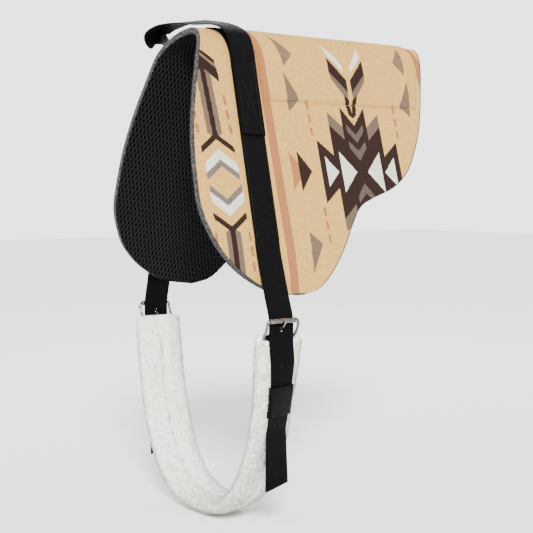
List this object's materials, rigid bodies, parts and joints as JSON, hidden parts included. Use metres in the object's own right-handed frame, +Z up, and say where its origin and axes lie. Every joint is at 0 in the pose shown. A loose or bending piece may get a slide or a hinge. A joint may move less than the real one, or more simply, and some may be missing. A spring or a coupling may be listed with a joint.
{
  "type": "bareback pad",
  "caption": "Folded bareback riding pad with woven cover, felt core, webbing rigging strap and grab loop, roller buckles and a fleece-covered girth.",
  "frame": {"origin": "underside of the fold at the middle of its length, where the pad lies on the back", "axes": "-X to the horse's front, -Y to its near side, +Z up"},
  "size_m": [0.6051, 0.432, 0.8876],
  "materials": {
    "cover": "woven wool blend with a traditional geometric pattern",
    "felt": "speckled grey needled felt",
    "liner": "black open spacer mesh",
    "foam": "closed-cell foam, hidden",
    "webbing": "black ribbed nylon webbing",
    "fleece": "white pile fleece",
    "leather": "smooth black leather",
    "metal": "nickel plate"
  },
  "bodies": {
    "pad": {"top_cover": "cover", "seat_insert": "foam", "felt_core": "felt", "grip_liner": "liner", "rigging_strap": "webbing", "handle_strap": "webbing"},
    "girth": {"girth_webbing": "webbing", "fleece_sleeve": "fleece", "near_strap_tail": "webbing", "far_strap_tail": "webbing", "near_keeper": "leather", "far_keeper": "leather", "near_buckle_frame": "metal", "far_buckle_frame": "metal"},
    "near_roller": {"near_buckle_roller": "metal"},
    "far_roller": {"far_buckle_roller": "metal"},
    "near_tongue": {"near_buckle_tongue": "metal"},
    "far_tongue": {"far_buckle_tongue": "metal"}
  },
  "joints": [
    {"name": "girth_swing", "type": "hinge", "parent": "pad", "child": "girth", "pos_m": [-0.215, 0, -0.4904], "axis": [0, 1, 0], "range_deg": [-12, 12]},
    {"name": "near_roller_spin", "type": "hinge", "parent": "girth", "child": "near_roller", "pos_m": [-0.215, -0.207, -0.4904], "axis": [1, 0, 0], "continuous": true},
    {"name": "far_roller_spin", "type": "hinge", "parent": "girth", "child": "far_roller", "pos_m": [-0.215, 0.207, -0.4904], "axis": [1, 0, 0], "continuous": true},
    {"name": "near_tongue_lift", "type": "hinge", "parent": "girth", "child": "near_tongue", "pos_m": [-0.215, -0.19348, -0.5194], "axis": [1, 0, 0], "range_deg": [0, 10]},
    {"name": "far_tongue_lift", "type": "hinge", "parent": "girth", "child": "far_tongue", "pos_m": [-0.215, 0.19348, -0.5194], "axis": [-1, 0, 0], "range_deg": [0, 10]}
  ]
}
